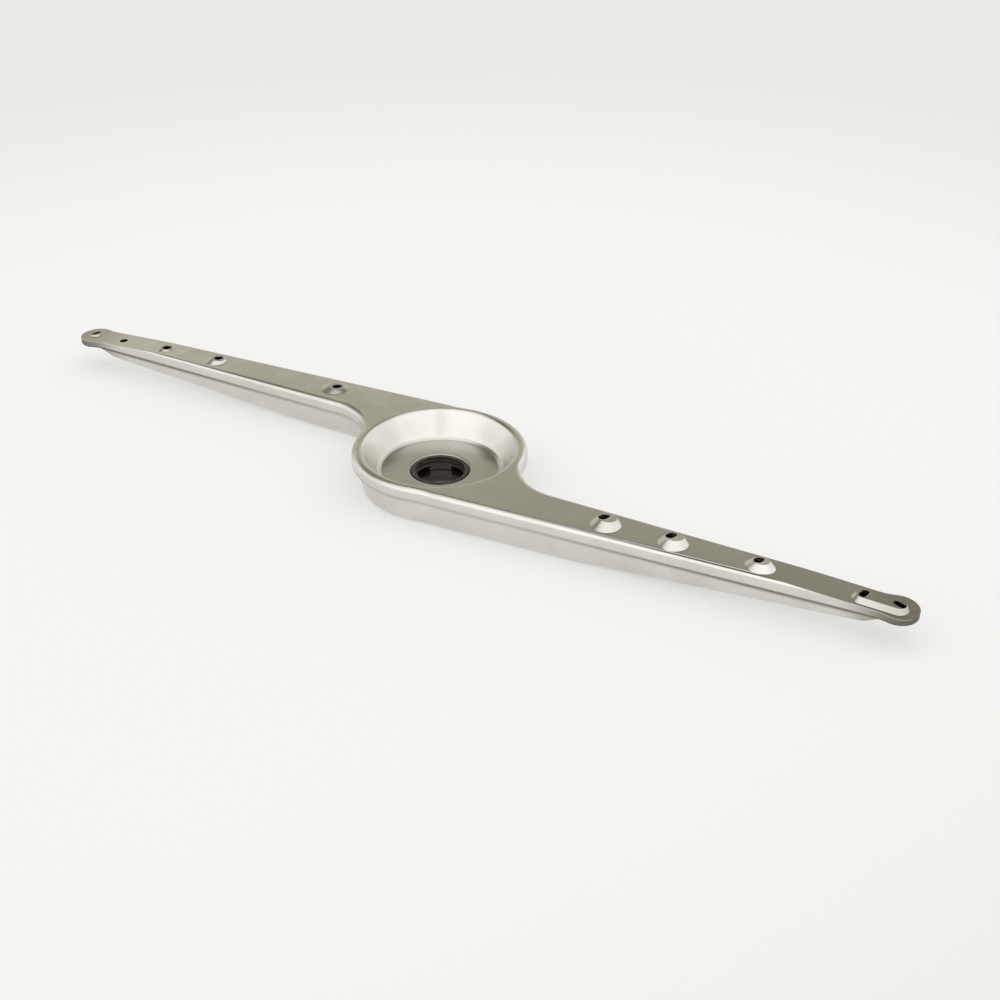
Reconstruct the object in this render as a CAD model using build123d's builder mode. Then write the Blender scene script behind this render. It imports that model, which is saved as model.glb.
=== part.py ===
"""Dishwasher spray arm: two pressed steel shells hemmed together and a captive threaded bearing."""

import os
from math import atan2, cos, degrees, hypot, radians, sin, tan

from build123d import *

os.makedirs("parts", exist_ok=True)

# Frame: millimetres, +Z up, origin on the hub axis at the face the arm rests on, +X along one arm.
LENGTH = 460.0
SHEET = 0.8
TOP_Z = 20.0

# Plan of the S shape: a round hub and two tapered arms, set off to opposite sides and ending in spoons.
HUB_R = 40.5
ROOT_X = 20.0
ROOT_Y = -24.3
ROOT_R = 13.6
NECK_FROM_END = 10.0
NECK_Y = -7.9
NECK_R = 6.5
TIP_Y = -7.5
TIP_R = 8.2
INNER_BLEND_R = 25.0
OUTER_BLEND_R = 40.0
SPOON_BLEND_R = 20.0

# Each arm's top is pressed down towards its tip, from this far short of the end.
SLOPE_FROM_END = 65.0
SLOPE_FALL = 3.0

# Rolled rim of the upper shell, and the hem that grips the flange of the lower shell.
SKIRT = 5.0
ROLL_R = 3.0
HEM_WIDTH = 2.4
HEM_CLEARANCE = 0.15

# Dish in the hub and the drawn collar in its floor.
DISH_TOP_R = 35.8
DISH_FLOOR_R = 28.4
DISH_DEPTH = 12.0
DISH_EDGE = 0.8
DISH_CORNER = 1.2
COLLAR_R = 13.4
COLLAR_LIP = 1.0
COLLAR_DEPTH = 2.8

# Trough of the lower shell: drafted walls, and a keel that rises towards the tips.
DRAFT = 8.0
TROUGH_EDGE = 2.0
KEEL_FLAT_X = 84.0
BOW_FROM_END = 24.0
BOW_RISE = 7.0
BOW_LENGTH = 15.0

# Captive bearing that screws onto the feed pipe.
THREAD_R = 11.6
RUNNING_CLEARANCE = 0.08
NECK_RISE = 2.5
FLANGE_R = 18.0
FLANGE_THICK = 1.7
END_PLAY = 0.3
WINDOWS = 4
WINDOW_WIDTH = 8.0
WINDOW_TURN = 77.0

# Raised nozzles. Place along the arm as a share of half the length. Then, as shares of the arm's half width
# there, place aside from its middle, foot radius along and across the arm, and face radius. Then how high
# the face stands, how far it is set over, the bearing it is set over to and its lean that way. Last the
# opening: how far it lies along +X from the middle of the face, its width, its length and the bearing of
# its length. Angles are degrees, bearings from +X.
NOZZLES = (
    (0.421, -0.095, 0.645, 0.630, 0.380, 2.4, 2.2, 93.0, 6.0, -1.8, 3.8, 5.6, 80.0),
    (0.554, -0.150, 0.710, 0.650, 0.410, 2.4, 1.9, 93.0, 6.0, -1.8, 3.8, 5.6, 80.0),
    (0.718, -0.143, 0.800, 0.640, 0.410, 2.2, 1.2, 93.0, 6.0, -1.3, 3.6, 5.2, 80.0),
    (-0.3276, 0.048, 0.660, 0.620, 0.350, 0.9, 1.6, 70.0, 6.0, 0.0, 4.0, 5.2, 80.0),
    (-0.630, -0.098, 0.620, 0.620, 0.380, 1.3, 1.6, 60.0, 6.0, 0.0, 3.8, 4.8, 80.0),
    (-0.769, -0.062, 0.580, 0.580, 0.380, 0.6, 1.0, 60.0, 5.0, 0.0, 3.8, 4.8, 80.0),
    (-0.966, 0.060, 0.560, 0.560, 0.440, 0.6, 0.8, 165.0, 6.0, 0.0, 3.0, 5.0, 75.0),
)

# One opening is cut in the flat sheet of the other arm: how far it lies from the end, its place aside, as
# above, and its width.
FLAT_JET_FROM_END = 26.2
FLAT_JET_ASIDE = -0.060
FLAT_JET_WIDTH = 4.2

# Long mound near the tip that carries two openings: how far its middle lies from the end, its place aside,
# as above, its foot and face, how high the face stands and how far it is set over. Then how far the openings
# lie along the arm from the middle of the face with the turns of their lengths, and their width and length.
MOUND_FROM_END = 15.45
MOUND_ASIDE = -0.180
MOUND_FOOT = (23.6, 9.8)
MOUND_FACE = (20.2, 6.4)
MOUND_RISE = 1.7
MOUND_OVER = 1.1
MOUND_JETS = ((-7.2, 78.0), (7.2, -22.0))
MOUND_JET_WIDTH = 3.0
MOUND_JET_LENGTH = 5.6

# Levels and places that follow from the sizes above.
TIP_X = LENGTH / 2 - TIP_R
NECK_X = LENGTH / 2 - NECK_FROM_END
SLOPE_X = LENGTH / 2 - SLOPE_FROM_END
BOW_X = LENGTH / 2 - BOW_FROM_END
HEM_Z = TOP_Z - SKIRT
FLOOR_Z = TOP_Z - DISH_DEPTH
COLLAR_Z = FLOOR_Z - COLLAR_DEPTH
LEG_TOP_Z = COLLAR_Z - FLANGE_THICK
LEG_Z = SHEET + END_PLAY
TROUGH_IN = HEM_WIDTH + HEM_CLEARANCE
ROLL_INSIDE = (ROLL_R - SHEET) * 0.6
CONE_RUN = (DISH_TOP_R - DISH_FLOOR_R) / DISH_DEPTH
CONE_WALL = SHEET * hypot(1.0, CONE_RUN)
BREADTH = 4 * HUB_R


def middle(x):
    """Y of an arm's centre line at x."""
    run = (abs(x) - ROOT_X) / (NECK_X - ROOT_X)
    return (ROOT_Y + (NECK_Y - ROOT_Y) * run) * (1 if x > 0 else -1)


def half_width(x):
    """Half an arm's width at x, without the spoon."""
    return ROOT_R + (NECK_R - ROOT_R) * (abs(x) - ROOT_X) / (NECK_X - ROOT_X)


def top_at(x):
    """Height of the top sheet at x."""
    return TOP_Z - SLOPE_FALL * max(0.0, abs(x) - SLOPE_X) / SLOPE_FROM_END


def plan(inset):
    """The S outline, taken in by the given inset all round."""
    with BuildSketch() as arm:
        with Locations((ROOT_X, ROOT_Y)):
            Circle(ROOT_R - inset)
        with Locations((NECK_X, NECK_Y)):
            Circle(NECK_R - inset)
        make_hull()
        with Locations((TIP_X, TIP_Y)):
            Circle(TIP_R - inset)
        behind = [v for v in arm.vertices() if v.X < TIP_X]
        reach = [(v, hypot(v.X - TIP_X, v.Y - TIP_Y)) for v in behind]
        fillet([v for v, r in reach if abs(r - TIP_R + inset) < 0.01], SPOON_BLEND_R + inset)
    with BuildSketch() as outline:
        Circle(HUB_R - inset)
        add(arm.sketch)
        add(arm.sketch.rotate(Axis.Z, 180))
        joins = [v for v in outline.vertices() if abs(hypot(v.X, v.Y) - HUB_R + inset) < 0.01]
        inner = [v for v in joins if abs(v.Y) < abs(v.X)]
        spots = [(v.X, v.Y) for v in joins if v not in inner]
        fillet(inner, INNER_BLEND_R + inset)
        outer = [v for v in outline.vertices() if any(hypot(v.X - x, v.Y - y) < 0.01 for x, y in spots)]
        fillet(outer, OUTER_BLEND_R + inset)
    return outline.sketch


def under_top(down):
    """Everything below the top sheet's side profile, lowered by the given amount."""
    past = LENGTH / 2 + SLOPE_FROM_END
    ends = [(x, top_at(x) - down) for x in (past, SLOPE_X, -SLOPE_X, -past)]
    with BuildPart() as below:
        with BuildSketch(Plane.XZ):
            with BuildLine():
                Polyline((-past, 0), (past, 0), *ends, (-past, 0))
            make_face()
        extrude(amount=BREADTH / 2, both=True)
    return below.part


def above_keel(up):
    """Everything above the keel's side profile, raised by the given amount."""
    past = LENGTH / 2 + BOW_LENGTH
    right = [
        (KEEL_FLAT_X, up),
        (BOW_X - up / 4, BOW_RISE + up),
        (BOW_X + BOW_LENGTH - up / 4, HEM_Z + up),
        (past, HEM_Z + up),
        (past, TOP_Z),
    ]
    left = [(-x, z) for x, z in reversed(right)]
    with BuildPart() as above:
        with BuildSketch(Plane.XZ):
            with BuildLine():
                Polyline(*right, *left, right[0])
            make_face()
        extrude(amount=BREADTH / 2, both=True)
    return above.part


def trough(inset, rise):
    """The water way as a solid, taken in by the given inset, and reaching past the hem level by rise."""
    with BuildPart() as body:
        with BuildSketch(Plane.XY.offset(HEM_Z)):
            add(plan(TROUGH_IN + inset))
        with BuildSketch(Plane.XY.offset(inset)):
            add(plan(TROUGH_IN + inset + (HEM_Z - inset) * tan(radians(DRAFT))))
        loft(ruled=True)
        with BuildSketch(Plane.XY.offset(HEM_Z)):
            add(plan(TROUGH_IN + inset))
        extrude(amount=rise)
        add(above_keel(inset), mode=Mode.INTERSECT)
        boxes = [(e, e.bounding_box()) for e in body.edges()]
        chamfer([e for e, box in boxes if box.max.Z < BOW_RISE + 2 * SHEET], TROUGH_EDGE - inset / 2)
    return body.part


def ring_of(body, radius, z):
    """The circular edge of a body with the given radius and height."""
    circles = body.edges().filter_by(GeomType.CIRCLE)
    return [e for e in circles if abs(e.radius - radius) < 0.01 and abs(e.center().Z - z) < 0.01]


def dish_side(down, out):
    """Half profile of the dish, lowered and widened by the given amounts, up to the top sheet."""
    return [
        (0, FLOOR_Z - down),
        (DISH_FLOOR_R + out - CONE_RUN * down, FLOOR_Z - down),
        (DISH_TOP_R + out, TOP_Z),
    ]


def sheet_plane(x, y, up):
    """Plane along the top sheet at x and y, raised by the given amount."""
    fall = SLOPE_FALL / SLOPE_FROM_END if abs(x) > SLOPE_X else 0.0
    along = Vector(1, 0, -fall if x > 0 else fall).normalized()
    out = Vector(-along.Z, 0, along.X)
    return Plane(Vector(x, y, top_at(x)) + out * up, x_dir=along, z_dir=out)


def bump(x, y, foot_along, foot_across, face_r, rise, over, toward, lean):
    """A nozzle as a solid let half a sheet into the top, and the plane of its face."""
    away = Vector(cos(radians(toward)), sin(radians(toward)), 0)
    face_up = away * sin(radians(lean)) + Vector(0, 0, cos(radians(lean)))
    face = Plane(Vector(x, y, top_at(x) + rise) + away * over, z_dir=face_up)
    with BuildPart() as body:
        with BuildSketch(sheet_plane(x, y, -SHEET / 2)):
            Ellipse(foot_along, foot_across)
        with BuildSketch(face):
            Circle(face_r)
        loft(ruled=True)
    return body.part, face


def mound():
    """The long mound as a solid let half a sheet into the top, and the plane of its face."""
    x = LENGTH / 2 - MOUND_FROM_END
    y = middle(x) + MOUND_ASIDE * half_width(x)
    turn = degrees(atan2(NECK_Y - ROOT_Y, NECK_X - ROOT_X))
    face = sheet_plane(x, y + MOUND_OVER, MOUND_RISE).rotated((0, 0, turn))
    with BuildPart() as body:
        with BuildSketch(sheet_plane(x, y, -SHEET / 2).rotated((0, 0, turn))):
            SlotOverall(*MOUND_FOOT)
        with BuildSketch(face):
            SlotOverall(*MOUND_FACE)
        loft(ruled=True)
    return body.part, face


def inside():
    """The room inside the upper shell, down to the hem."""
    with BuildPart() as body:
        with BuildSketch(Plane.XY.offset(HEM_Z)):
            add(plan(SHEET))
        extrude(amount=SKIRT - SHEET)
        chamfer(body.faces().sort_by(Axis.Z)[-1].edges(), ROLL_INSIDE)
        add(under_top(SHEET), mode=Mode.INTERSECT)
    return body.part


with BuildPart() as upper_shell:
    with BuildSketch(Plane.XY.offset(HEM_Z - SHEET)):
        add(plan(0.0))
    extrude(amount=SKIRT + SHEET)
    fillet(upper_shell.faces().sort_by(Axis.Z)[-1].edges(), ROLL_R)
    add(under_top(0.0), mode=Mode.INTERSECT)
    add(inside(), mode=Mode.SUBTRACT)
    with BuildSketch(Plane.XY.offset(HEM_Z - SHEET)):
        add(plan(HEM_WIDTH))
    extrude(amount=SHEET, mode=Mode.SUBTRACT)
    with BuildSketch(Plane.XZ):
        with BuildLine():
            Polyline(*dish_side(SHEET, CONE_WALL), (0, TOP_Z), (0, FLOOR_Z - SHEET))
        make_face()
    revolve(axis=Axis.Z)
    with BuildSketch(Plane.XY.offset(COLLAR_Z)):
        Circle(COLLAR_R + SHEET)
    extrude(amount=COLLAR_DEPTH - SHEET)
    with BuildSketch(Plane.XZ):
        with BuildLine():
            Polyline(*dish_side(0.0, 0.0), (DISH_TOP_R, TOP_Z + SHEET), (0, TOP_Z + SHEET), (0, FLOOR_Z))
        make_face()
    revolve(axis=Axis.Z, mode=Mode.SUBTRACT)
    with BuildSketch(Plane.XY.offset(COLLAR_Z)):
        Circle(COLLAR_R)
    extrude(amount=COLLAR_DEPTH, mode=Mode.SUBTRACT)
    chamfer(ring_of(upper_shell, COLLAR_R, FLOOR_Z), COLLAR_LIP)
    chamfer(ring_of(upper_shell, DISH_TOP_R, TOP_Z), DISH_EDGE)
    chamfer(ring_of(upper_shell, DISH_FLOOR_R, FLOOR_Z), DISH_CORNER)
    for place, aside, along, across, top, rise, over, toward, lean, shift, wide, long, turn in NOZZLES:
        x = place * LENGTH / 2
        half = half_width(x)
        y = middle(x) + aside * half
        raised, face = bump(x, y, along * half, across * half, top * half, rise, over, toward, lean)
        add(raised)
        add(raised.moved(Location((0, 0, -SHEET))), mode=Mode.SUBTRACT)
        slot_dir = Vector(cos(radians(turn)), sin(radians(turn)), 0)
        slot_x = slot_dir - face.z_dir * slot_dir.dot(face.z_dir)
        arm_x = Vector(1, 0, 0) - face.z_dir * face.z_dir.X
        with BuildSketch(Plane(face.origin + arm_x * shift, x_dir=slot_x, z_dir=face.z_dir)):
            SlotOverall(long, wide)
        extrude(amount=2 * SHEET, both=True, mode=Mode.SUBTRACT)
    raised, face = mound()
    add(raised)
    add(raised.moved(Location((0, 0, -SHEET))), mode=Mode.SUBTRACT)
    for step, turn in MOUND_JETS:
        with BuildSketch(Plane(face.origin + face.x_dir * step, x_dir=face.x_dir, z_dir=face.z_dir)):
            SlotOverall(MOUND_JET_LENGTH, MOUND_JET_WIDTH, rotation=turn)
        extrude(amount=2 * SHEET, both=True, mode=Mode.SUBTRACT)
    jet_x = FLAT_JET_FROM_END - LENGTH / 2
    jet_y = middle(jet_x) + FLAT_JET_ASIDE * half_width(jet_x)
    with BuildSketch(sheet_plane(jet_x, jet_y, 0.0)):
        Circle(FLAT_JET_WIDTH / 2)
    extrude(amount=2 * SHEET, both=True, mode=Mode.SUBTRACT)
upper_shell.part.label = "upper_shell"
export_step(upper_shell.part, "parts/upper_shell.step")

with BuildPart() as lower_shell:
    add(trough(0.0, SHEET))
    with BuildSketch(Plane.XY.offset(HEM_Z)):
        add(plan(SHEET + HEM_CLEARANCE))
    extrude(amount=SHEET)
    add(trough(SHEET, 2 * SHEET), mode=Mode.SUBTRACT)
lower_shell.part.label = "lower_shell"
export_step(lower_shell.part, "parts/lower_shell.step")

with BuildPart() as feed_bearing:
    with BuildSketch(Plane.XZ):
        with BuildLine():
            Polyline(
                (THREAD_R, LEG_Z),
                (FLANGE_R, LEG_Z),
                (FLANGE_R, COLLAR_Z),
                (COLLAR_R - RUNNING_CLEARANCE, COLLAR_Z),
                (COLLAR_R - RUNNING_CLEARANCE, COLLAR_Z + NECK_RISE),
                (THREAD_R, COLLAR_Z + NECK_RISE),
                (THREAD_R, LEG_Z),
            )
        make_face()
    revolve(axis=Axis.Z)
    with BuildSketch(Plane.XY.offset(LEG_Z)):
        with PolarLocations((THREAD_R + FLANGE_R) / 2, WINDOWS, start_angle=WINDOW_TURN):
            Rectangle(2 * (FLANGE_R - THREAD_R), WINDOW_WIDTH)
    extrude(amount=LEG_TOP_Z - LEG_Z, mode=Mode.SUBTRACT)
feed_bearing.part.label = "feed_bearing"
export_step(feed_bearing.part, "parts/feed_bearing.step")
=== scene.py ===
"""Looks of the dishwasher spray arm: satin pressed steel, a dark threaded bearing and a pale floor."""

from collections import Counter
from math import atan2, cos, hypot, pi, radians

import bmesh
import bpy
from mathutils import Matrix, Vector


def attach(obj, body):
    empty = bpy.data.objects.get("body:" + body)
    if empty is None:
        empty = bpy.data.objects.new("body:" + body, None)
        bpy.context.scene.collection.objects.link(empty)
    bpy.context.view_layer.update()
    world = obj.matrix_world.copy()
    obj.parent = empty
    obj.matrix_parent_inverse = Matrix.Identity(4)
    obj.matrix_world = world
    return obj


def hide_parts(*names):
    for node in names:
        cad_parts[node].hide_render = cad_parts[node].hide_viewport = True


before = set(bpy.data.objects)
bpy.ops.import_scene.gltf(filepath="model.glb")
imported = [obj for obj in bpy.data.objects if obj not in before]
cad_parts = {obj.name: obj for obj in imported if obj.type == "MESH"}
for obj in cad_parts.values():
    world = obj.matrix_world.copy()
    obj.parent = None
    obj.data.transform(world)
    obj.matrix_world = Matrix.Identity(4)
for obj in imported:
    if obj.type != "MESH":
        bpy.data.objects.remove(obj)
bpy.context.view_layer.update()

MM = 0.001

# Sizes of the part that the dressing has to meet, in millimetres
TOP_Z = 20.0
SLOPE_X = 165.0
SLOPE = 3.0 / 65.0
BRIM_R = 37.0
NOZZLE_R = 45.0
FOOT_BAND = 0.3
HEM_Z = 14.0
DISH_LOW_Z = 6.5

# Plan of an arm: start and run along x, then middle line and half width with their change over the run
ARM_START, ARM_RUN = 20.0, 200.0
MIDDLE_START, MIDDLE_CHANGE = -24.3, 16.4
HALF_START, HALF_CHANGE = 13.6, -7.1
RIM_WIDTH = 1.6

# Darkening: shares on three kinds of face (painted shade in the openings and on the bore's collar, a darker
# tone on nozzle faces), and the steepness and place by which each kind is known
OPENING_SHADE, FACE_DARKENING, COLLAR_SHADE = 1.0, 0.25, 0.6
WALL_COS, FACE_COS = 0.25, 0.9
OPENING_DEPTH, FACE_LIFT = 1.2, 0.5
COLLAR_INNER_R, COLLAR_OUTER_R = 12.0, 14.4
COLLAR_LOW_Z, COLLAR_HIGH_Z = 4.5, 7.95

# Thread: its place and section in millimetres, rows of the mesh, fading at the ends, form of the groove
THREAD_R = 11.6
THREAD_TOP = 7.7
THREAD_FOOT = 3.7
THREAD_PITCH = 1.8
THREAD_DEPTH = 0.8
THREAD_ROWS = 40
THREAD_FADE = 6.0
GROOVE_TOP, GROOVE_FLANK = 2.2, 6.0
END_GAP = 0.1
BORE_GAP = 0.05

# Edges to round: angles that count in degrees, then width in millimetres and segments
NOZZLE_TURN, NOZZLE_ROUND = (14, 65), (0.7, 4)
DISH_TURN, DISH_ROUND = (20, 80), (0.35, 3)
SHARP_TURN, SHARP_ROUND = (46, 180), (0.15, 2)
TROUGH_TURN, TROUGH_ROUND = (20, 180), (0.5, 3)

# Rounding takes at most a share of the room beside a run of edges, and none if that is less than the least
ROOM_SHARE = 0.45
LEAST_ROUND = 0.12

# Copies of CAD meshes: vertices nearer than this merge, and faces that turn less than this join
MERGE = 0.002
JOIN_ANGLE = radians(0.2)

# Shading: faces that turn less than this blend, and level faces wider than this keep their own normal
SMOOTH_ANGLE = radians(35)
LEVEL_COS = 0.998
WIDE_AREA = 3.0 * MM * MM

# Colours on steel of a browner tone and of darkening, which is mostly painted shade, and of bare and scaled
# plastic
BROWN_TONE = (0.34, 0.31, 0.25)
DARK_BROWN = (0.10, 0.085, 0.065)
BARE_PLASTIC = (0.026, 0.021, 0.014)
SCALED_PLASTIC = (0.100, 0.088, 0.066)

# Floor: half its width in metres, colours of paper in light and in painted shade, colours of its glow in
# light and in painted shade, and a share of glow
FLOOR_HALF = 12.0
PAPER_FIRST, PAPER_SECOND, PAPER_DIM = (0.82, 0.82, 0.805), (0.85, 0.85, 0.835), (0.50, 0.505, 0.465)
GLOW_PALE, GLOW_DIM = (0.98, 0.98, 0.965), (0.56, 0.565, 0.52)
GLOW_SHARE = 0.45

# Tent: colours of its sides, front, low front, gap and back wall, and the way to the camera in plan
TENT_SIDE, TENT_FRONT, TENT_LOW = (1.12, 1.12, 1.10), (1.42, 1.41, 1.39), (0.62, 0.61, 0.57)
TENT_GAP = (0.6, 0.6, 0.58)
WALL_LOW, WALL_HIGH = (0.68, 0.66, 0.55), (0.17, 0.158, 0.118)
TOWARDS_X, TOWARDS_Y = 0.5265, -0.8501

# Camera: lens on its sensor in millimetres, nearest distance, place and aim
LENS, SENSOR = 56.16, 36.0
CLIP_START = 0.01
CAMERA_PLACE = (0.3514, -0.5146, 0.3741)
CAMERA_AIM = (-0.4484, 0.7240, -0.5240)


class Value:
    """A shader socket that takes part in Python arithmetic."""

    def __init__(self, shade, socket):
        self.shade = shade
        self.socket = socket

    def math(self, operation, *others):
        return self.shade.node("ShaderNodeMath", {"operation": operation}, self, *others)

    def __add__(self, other):
        return self.math("ADD", other)

    def __radd__(self, other):
        return self.math("ADD", other)

    def __sub__(self, other):
        return self.math("SUBTRACT", other)

    def __rsub__(self, other):
        return self.shade.node("ShaderNodeMath", {"operation": "SUBTRACT"}, other, self)

    def __mul__(self, other):
        return self.math("MULTIPLY", other)

    def __abs__(self):
        return self.math("ABSOLUTE")


class Shade:
    """A node tree that is written as expressions."""

    def __init__(self, tree):
        self.tree = tree
        self.tree.nodes.clear()

    def node(self, kind, settings, *values, out=0, at=None, **named):
        """Adds a node: settings, then the values or links of its sockets by place or by name."""
        made = self.tree.nodes.new(kind)
        for key, value in settings.items():
            setattr(made, key, value)
        pairs = list(zip(at or range(len(values)), values))
        pairs += [(key.replace("_", " "), value) for key, value in named.items()]
        for key, value in pairs:
            socket = made.inputs[key]
            if isinstance(value, Value):
                self.tree.links.new(value.socket, socket)
            elif socket.type == "RGBA":
                socket.default_value = (*value, 1.0)
            else:
                socket.default_value = value
        if isinstance(out, tuple):
            return [Value(self, made.outputs[key]) for key in out]
        return Value(self, made.outputs[out]) if made.outputs else None

    def mix(self, share, first, second):
        """A colour between two others."""
        return self.node("ShaderNodeMix", {"data_type": "RGBA"}, share, first, second, out=2, at=(0, 6, 7))

    def between(self, value, low, high, start=0.0, end=1.0):
        """A value eased from start to end as the given one goes from low to high."""
        settings = {"interpolation_type": "SMOOTHSTEP"}
        return self.node("ShaderNodeMapRange", settings, value, low, high, start, end)

    def noise(self, place, scale, detail=2.0, rough=0.5):
        """Noise at a place, from 0 to 1."""
        return self.node("ShaderNodeTexNoise", {}, Vector=place, Scale=scale, Detail=detail, Roughness=rough)

    def stretched(self, place, x, y, z):
        """A place with its three axes scaled, for grain that runs along one of them."""
        return self.node("ShaderNodeMapping", {}, place, (0, 0, 0), (0, 0, 0), (x, y, z))


def finish_named(name):
    """A new material and its shade."""
    material = bpy.data.materials.new(name)
    material.use_nodes = True
    return material, Shade(material.node_tree)


def steel(name, tint, dull, rough, seam_low, seam_high):
    """Pressed stainless sheet: grain along the arm, mottling, scratches, painted shade along the hem seam
    and on the tip walls, and browner tips.
    """
    material, shade = finish_named(name)
    place = shade.node("ShaderNodeTexCoord", {}, out=3)
    x, y, z = shade.node("ShaderNodeSeparateXYZ", {}, place, out=(0, 1, 2))

    # Zones by place, in metres
    radius = (x * x + y * y).math("SQRT")
    in_dish = shade.between(radius, 0.0376, 0.0366)
    on_floor = shade.between(radius, 0.0290, 0.0270)
    at_tip = shade.between(abs(x), 0.198, 0.228)
    past_slope = (abs(x) - SLOPE_X * MM).math("MAXIMUM", 0.0)
    below_top = (TOP_Z * MM - past_slope * SLOPE) - z
    # Painted shade on the walls of the tips, below their top face
    tip_wall = at_tip * shade.between(below_top, -0.0001, 0.0007)

    # Grain, mottling, scratches and spots
    grain_along = shade.noise(shade.stretched(place, 60.0, 2600.0, 2600.0), scale=1.0, detail=3.0, rough=0.6)
    ring_place = shade.node("ShaderNodeCombineXYZ", {}, radius, z, 0.0)
    grain_round = shade.noise(ring_place, scale=2400.0, detail=3.0, rough=0.6)
    grain = shade.node("ShaderNodeMix", {}, in_dish, grain_along, grain_round, at=(0, 2, 3))
    mottle = shade.noise(place, scale=55.0, detail=4.0, rough=0.6)
    cloud = shade.noise(shade.stretched(place, 8.0, 22.0, 22.0), scale=1.0)
    scratch = shade.noise(shade.stretched(place, 25.0, 5200.0, 900.0), scale=1.0, detail=1.0)
    mark = shade.between(scratch, 0.70, 0.78) * (1 - in_dish)
    spot_ring = shade.noise(place, scale=420.0, detail=1.0, rough=0.4)
    spot = shade.between(spot_ring, 0.70, 0.73) * shade.between(mottle, 0.50, 0.62)
    worn = shade.between(mottle * 0.6 + cloud * 0.4, 0.38, 0.66)

    # Darkening by each face's share (painted shade in openings and on the collar, a darker tone on nozzle
    # faces), painted shade in a band by the hem seam, and painted shade on the walls of the tips
    darkening = shade.node("ShaderNodeAttribute", {"attribute_name": "darkening"}, out="Fac")
    along = shade.between(abs(x), 0.04, 0.18, 0.35, 1.0)
    seam_shade = shade.between(z, seam_low * MM, seam_high * MM) * along * (1 - in_dish)
    darkened = darkening.math("MAXIMUM", tip_wall * 0.95)
    seam = (seam_shade * (0.75 + mottle * 0.5)).math("MAXIMUM", darkened)

    clean = shade.mix(worn * 0.7 + grain * 0.3, dull, tint)
    # A browner tone towards the tips, and a trace of it on the dish floor
    browned = shade.mix(at_tip * 0.60 + on_floor * 0.05, clean, BROWN_TONE)
    # Painted shade and the faces' darkening mixed in as dark brown
    colour = shade.mix(seam * 0.85, browned, DARK_BROWN)
    roughness = rough + (1 - worn) * 0.05 + grain * 0.05 + mark * 0.05 + spot * 0.06 + seam * 0.2
    height = grain * 0.35 + mark * -0.4 + cloud * 0.3
    bump = shade.node("ShaderNodeBump", {}, Strength=0.06, Distance=0.0004, Height=height)
    surface = shade.node(
        "ShaderNodeBsdfPrincipled",
        {},
        Base_Color=colour,
        Metallic=1.0,
        Roughness=roughness,
        Normal=bump,
    )
    shade.node("ShaderNodeOutputMaterial", {}, Surface=surface)
    return material


def moulded(name):
    """Dark moulded plastic, a little worn and scaled on its faces."""
    material, shade = finish_named(name)
    place = shade.node("ShaderNodeTexCoord", {}, out=3)
    speck = shade.noise(place, scale=900.0, detail=3.0, rough=0.6)
    scale = shade.between(shade.noise(place, scale=180.0, detail=4.0, rough=0.6), 0.50, 0.72)
    colour = shade.mix(scale * 0.6, BARE_PLASTIC, SCALED_PLASTIC)
    roughness = 0.34 + scale * 0.2 + speck * 0.08
    bump = shade.node("ShaderNodeBump", {}, Strength=0.15, Distance=0.0002, Height=speck + scale * 0.5)
    surface = shade.node(
        "ShaderNodeBsdfPrincipled", {}, Base_Color=colour, Roughness=roughness, Normal=bump
    )
    shade.node("ShaderNodeOutputMaterial", {}, Surface=surface)
    return material


# Each sheet gets painted shade in a band by the hem seam, from seam_low to seam_high in millimetres
upper_steel = steel(
    "satin_sheet",
    tint=(0.72, 0.71, 0.68),
    dull=(0.63, 0.61, 0.57),
    rough=0.19,
    seam_low=15.7,
    seam_high=14.4,
)
lower_steel = steel(
    "polished_sheet",
    tint=(0.74, 0.73, 0.69),
    dull=(0.64, 0.62, 0.57),
    rough=0.17,
    seam_low=10.6,
    seam_high=13.0,
)
bearing_plastic = moulded("dark_moulding")


def sheet_copy(node):
    """A node's mesh with its doubles merged and its flat areas joined up."""
    bm = bmesh.new()
    bm.from_mesh(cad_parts[node].data)
    bmesh.ops.remove_doubles(bm, verts=bm.verts[:], dist=MERGE * MM)
    bmesh.ops.dissolve_limit(bm, angle_limit=JOIN_ANGLE, verts=bm.verts[:], edges=bm.edges[:])
    return bm


def edges_turning(bm, low, high, where):
    """Edges whose faces turn by an angle in the range, where a test of x, y, z in millimetres holds."""
    found = []
    for edge in bm.edges:
        if len(edge.link_faces) == 2 and radians(low) < edge.calc_face_angle(0.0) < radians(high):
            middle = (edge.verts[0].co + edge.verts[1].co) / 2 / MM
            if where(*middle):
                found.append(edge)
    return found


def linked_runs(edges, closed):
    """The given edges in runs that hang together, or only the closed rings among them."""
    wanted = set(edges)
    seen = set()
    runs = []
    for first in edges:
        if first in seen:
            continue
        seen.add(first)
        run, waiting = [], [first]
        while waiting:
            edge = waiting.pop()
            run.append(edge)
            for other in [link for vert in edge.verts for link in vert.link_edges]:
                if other in wanted and other not in seen:
                    seen.add(other)
                    waiting.append(other)
        meetings = Counter(vert for edge in run for vert in edge.verts)
        if not closed or set(meetings.values()) == {2}:
            runs.append(run)
    return runs


def rounded(bm, edges, width, segments, closed=True, clamp=True):
    """Rounds runs of edges by a width in millimetres, or by less where an edge beside a run is short."""
    for run in linked_runs(edges, closed):
        own = set(run)
        beside = [link for edge in run for vert in edge.verts for link in vert.link_edges if link not in own]
        offset = min(width * MM, ROOM_SHARE * min(link.calc_length() for link in beside))
        if offset < LEAST_ROUND * MM:
            continue
        bmesh.ops.bevel(
            bm,
            geom=run,
            offset=offset,
            offset_type="OFFSET",
            affect="EDGES",
            segments=segments,
            profile=0.5,
            clamp_overlap=clamp,
            material=-1,
        )


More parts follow.
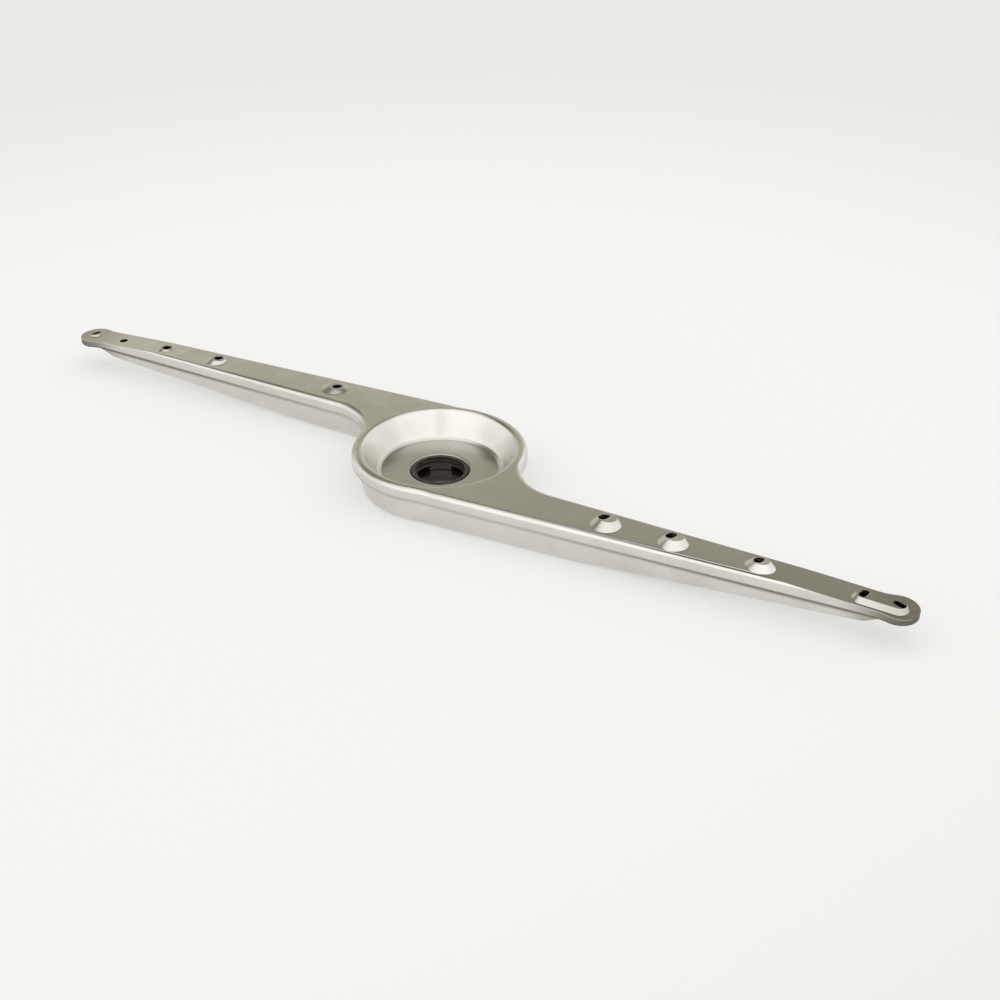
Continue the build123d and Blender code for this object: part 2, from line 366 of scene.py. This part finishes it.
def corner_normal(loop):
    """Normal at a face's corner: that of the widest level face it runs into, or else the mean there."""
    least = cos(SMOOTH_ANGLE)
    near = [other for other in loop.vert.link_loops if other.face.normal.dot(loop.face.normal) > least]
    level = [other.face for other in near if abs(other.face.normal.z) > LEVEL_COS]
    wide = [face for face in level if face.calc_area() > WIDE_AREA]
    if wide:
        return max(wide, key=lambda face: face.calc_area()).normal.copy()
    total = Vector()
    for other in near:
        total += other.face.normal * other.calc_angle()
    return total.normalized()


def piece(bm, name, material, body, node, darkening_of=None):
    """Finishes a piece that stands for a node and moves with its body, with a share of darkening on some
    faces.
    """
    darkening = bm.faces.layers.float.new("darkening")
    for face in bm.faces:
        face.smooth = True
        face[darkening] = darkening_of(face) if darkening_of else 0.0
    for edge in bm.edges:
        edge.smooth = not (len(edge.link_faces) == 2 and edge.calc_face_angle(0.0) > SMOOTH_ANGLE)
    bm.normal_update()
    normals = [corner_normal(loop) for face in bm.faces for loop in face.loops]
    mesh = bpy.data.meshes.new(name)
    bm.to_mesh(mesh)
    bm.free()
    mesh.normals_split_custom_set(normals)
    obj = bpy.data.objects.new(name, mesh)
    bpy.context.scene.collection.objects.link(obj)
    mesh.materials.append(material)
    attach(obj, body)
    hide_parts(node)


def top_at(x):
    """Height of the top sheet at x."""
    return TOP_Z - SLOPE * max(0.0, abs(x) - SLOPE_X)


def near_opening(x, y):
    """Whether a place in plan lies on the inner part of an arm, away from its rolled rim."""
    run = (abs(x) - ARM_START) / ARM_RUN
    middle = (MIDDLE_START + MIDDLE_CHANGE * run) * (1 if x > 0 else -1)
    return abs(y - middle) < HALF_START + HALF_CHANGE * run - RIM_WIDTH


def upper_darkening(face):
    """Share of darkening on a face of the upper shell: painted shade in the openings and on the collar, a
    darker tone on nozzle faces.
    """
    x, y, z = face.calc_center_median() / MM
    reach = hypot(x, y)
    rise = face.normal.z
    # Painted shade on the walls of the openings
    if reach > BRIM_R and abs(rise) < WALL_COS and z > top_at(x) - OPENING_DEPTH and near_opening(x, y):
        return OPENING_SHADE
    # A darker tone on the nozzles' top faces
    if reach > BRIM_R and rise > FACE_COS and z > top_at(x) + FACE_LIFT:
        return FACE_DARKENING
    # Painted shade on the collar that leads down into the bore
    if COLLAR_INNER_R < reach < COLLAR_OUTER_R and COLLAR_LOW_Z < z < COLLAR_HIGH_Z:
        return COLLAR_SHADE
    return 0.0


def at_foot(x, y, z):
    """Whether a place lies where a nozzle leaves the top sheet."""
    return hypot(x, y) > NOZZLE_R and abs(z - top_at(x)) < FOOT_BAND


def on_nozzle(x, y, z):
    """Whether a place lies on a nozzle, above its foot."""
    return hypot(x, y) > NOZZLE_R and z > top_at(x) + FOOT_BAND


def in_hub_dish(x, y, z):
    """Whether a place lies in the hub's dish."""
    return hypot(x, y) < BRIM_R and z > DISH_LOW_Z


def thread_radius(angle, z, share):
    """Radius of the cut bore at an angle and a height, which is a share of the way down the thread."""
    phase = (z / THREAD_PITCH - angle / (2 * pi)) % 1.0
    groove = min(1.0, max(0.0, GROOVE_TOP - abs(phase - 0.5) * GROOVE_FLANK))
    ends = min(1.0, THREAD_FADE * share, THREAD_FADE * (1 - share))
    return THREAD_R + THREAD_DEPTH * groove * ends


# Upper shell: rounded nozzles, a turned brim, and fine rounding on openings and hem
upper = sheet_copy("upper_shell")
nozzle_feet = [edge for edge in edges_turning(upper, *NOZZLE_TURN, at_foot) if not edge.is_convex]
nozzle_faces = edges_turning(upper, *NOZZLE_TURN, on_nozzle)
rounded(upper, nozzle_feet + nozzle_faces, *NOZZLE_ROUND, closed=False)
dish_rings = edges_turning(upper, *DISH_TURN, in_hub_dish)
rounded(upper, dish_rings, *DISH_ROUND)
sharp_edges = edges_turning(upper, *SHARP_TURN, lambda x, y, z: z > HEM_Z)
rounded(upper, sharp_edges, *SHARP_ROUND)
piece(upper, "upper_shell_sheet", upper_steel, "arm", "upper_shell", upper_darkening)

# Lower shell: rounded trough edges, where the share of room alone keeps the rounding from overlapping
lower = sheet_copy("lower_shell")
trough_edges = edges_turning(lower, *TROUGH_TURN, lambda x, y, z: z < HEM_Z)
rounded(lower, trough_edges, *TROUGH_ROUND, closed=False, clamp=False)
piece(lower, "lower_shell_sheet", lower_steel, "arm", "lower_shell")

# Bearing: the bore between its top and its windows gets a cut thread
bearing = sheet_copy("feed_bearing")
bmesh.ops.bisect_plane(
    bearing,
    geom=bearing.verts[:] + bearing.edges[:] + bearing.faces[:],
    plane_co=(0, 0, (THREAD_FOOT - END_GAP) * MM),
    plane_no=(0, 0, 1),
)
bore = []
for face in bearing.faces:
    widest = max(hypot(v.co.x, v.co.y) for v in face.verts)
    above_foot = face.calc_center_median().z > (THREAD_FOOT - END_GAP) * MM
    if above_foot and widest < (THREAD_R + BORE_GAP) * MM:
        bore.append(face)
bmesh.ops.delete(bearing, geom=bore, context="FACES")
open_edges = [e for e in bearing.edges if e.is_boundary]
top_rim = {v for e in open_edges for v in e.verts if v.co.z > (THREAD_TOP - END_GAP) * MM}
foot_edges = [e for e in open_edges if not top_rim.intersection(e.verts)]
columns = sorted(top_rim, key=lambda v: atan2(v.co.y, v.co.x))
row = columns
for step in range(1, THREAD_ROWS + 1):
    share = step / THREAD_ROWS
    z = THREAD_TOP + (THREAD_FOOT - THREAD_TOP) * share
    below = []
    for vert in columns:
        radius = thread_radius(atan2(vert.co.y, vert.co.x), z, share)
        flat = Vector((vert.co.x, vert.co.y, 0)).normalized() * radius
        below.append(bearing.verts.new((flat.x * MM, flat.y * MM, z * MM)))
    for i in range(len(columns)):
        j = (i + 1) % len(columns)
        bearing.faces.new((row[i], below[i], below[j], row[j]))
    row = below
band_edges = [bearing.edges.get((row[i], row[(i + 1) % len(row)])) for i in range(len(row))]
bmesh.ops.bridge_loops(bearing, edges=band_edges + foot_edges)
bmesh.ops.recalc_face_normals(bearing, faces=bearing.faces[:])
piece(bearing, "feed_bearing_threaded", bearing_plastic, "bearing", "feed_bearing")

# Pale floor that glows for camera and mirror rays, with painted shade towards the near right and away from
# the middle
floor_bm = bmesh.new()
bmesh.ops.create_grid(floor_bm, x_segments=1, y_segments=1, size=FLOOR_HALF)
floor_mesh = bpy.data.meshes.new("floor")
floor_bm.to_mesh(floor_mesh)
floor_bm.free()
floor = bpy.data.objects.new("floor", floor_mesh)
bpy.context.scene.collection.objects.link(floor)
floor_paper, paper = finish_named("floor_paper")
paper_place = paper.node("ShaderNodeTexCoord", {}, out=3)
paper_x, paper_y = paper.node("ShaderNodeSeparateXYZ", {}, paper_place, out=(0, 1))
paper_grain = paper.noise(paper_place, scale=300.0)
near_right = paper.between(paper_x * 0.95 + paper_y * -0.30, 0.10, 0.80)
paper_reach = (paper_x * paper_x + paper_y * paper_y).math("SQRT")
paper_shade = paper.between(paper_reach, 0.22, 0.75, 0.0, 0.25) + near_right * 0.5
paper_pale = paper.mix(paper_grain, PAPER_FIRST, PAPER_SECOND)
paper_colour = paper.mix(paper_shade, paper_pale, PAPER_DIM)
paper_surface = paper.node("ShaderNodeBsdfPrincipled", {}, Base_Color=paper_colour, Roughness=0.85)
paper_glow_colour = paper.mix(paper_shade, GLOW_PALE, GLOW_DIM)
paper_glow = paper.node("ShaderNodeEmission", {}, paper_glow_colour, 1.0)
seen, mirrored = paper.node("ShaderNodeLightPath", {}, out=("Is Camera Ray", "Is Glossy Ray"))
paper_mix = paper.node("ShaderNodeMixShader", {}, (seen + mirrored) * GLOW_SHARE, paper_surface, paper_glow)
paper.node("ShaderNodeOutputMaterial", {}, Surface=paper_mix)
floor_mesh.materials.append(floor_paper)

# Soft tent of light with a dim olive wall behind the arm and a faint gap in front, where the camera stands
world = bpy.data.worlds.new("tent")
bpy.context.scene.world = world
world.use_nodes = True
tent = Shade(world.node_tree)
ray = tent.node("ShaderNodeTexCoord", {}, out=0)
ray_x, ray_y, ray_z = tent.node("ShaderNodeSeparateXYZ", {}, ray, out=(0, 1, 2))
facing = ray_x * TOWARDS_X + ray_y * TOWARDS_Y
across = ray_x * -TOWARDS_Y + ray_y * TOWARDS_X
front = tent.between(facing, -0.2, 0.4)
soft_box = tent.mix(front, TENT_SIDE, TENT_FRONT)
gap = tent.between(abs(across), 0.09, 0.05) * tent.between(facing, 0.5, 0.6)
low_front = front * tent.between(ray_z, 0.47, 0.30, 0.0, 0.6)
over_floor = tent.mix(low_front, soft_box, TENT_LOW)
lit = tent.mix(gap * 0.35, over_floor, TENT_GAP)
wall_width = tent.between(across, 0.58, 0.32) * tent.between(across, -0.92, -0.55)
wall_band = wall_width * tent.between(facing, -0.1, -0.4) * tent.between(ray_z, 0.95, 0.78)
wall_colour = tent.mix(tent.between(ray_z, 0.46, 0.60), WALL_LOW, WALL_HIGH)
dome = tent.mix(wall_band, lit, wall_colour)
glow = tent.node("ShaderNodeBackground", {}, dome, 1.0)
tent.node("ShaderNodeOutputWorld", {}, Surface=glow)

# Camera at the photograph's angle
camera_data = bpy.data.cameras.new("camera")
camera_data.sensor_width = SENSOR
camera_data.lens = LENS
camera_data.clip_start = CLIP_START
camera = bpy.data.objects.new("camera", camera_data)
bpy.context.scene.collection.objects.link(camera)
camera.location = CAMERA_PLACE
camera.rotation_euler = Vector(CAMERA_AIM).to_track_quat("-Z", "Y").to_euler()
bpy.context.scene.camera = camera

bpy.context.scene.view_settings.view_transform = "Standard"
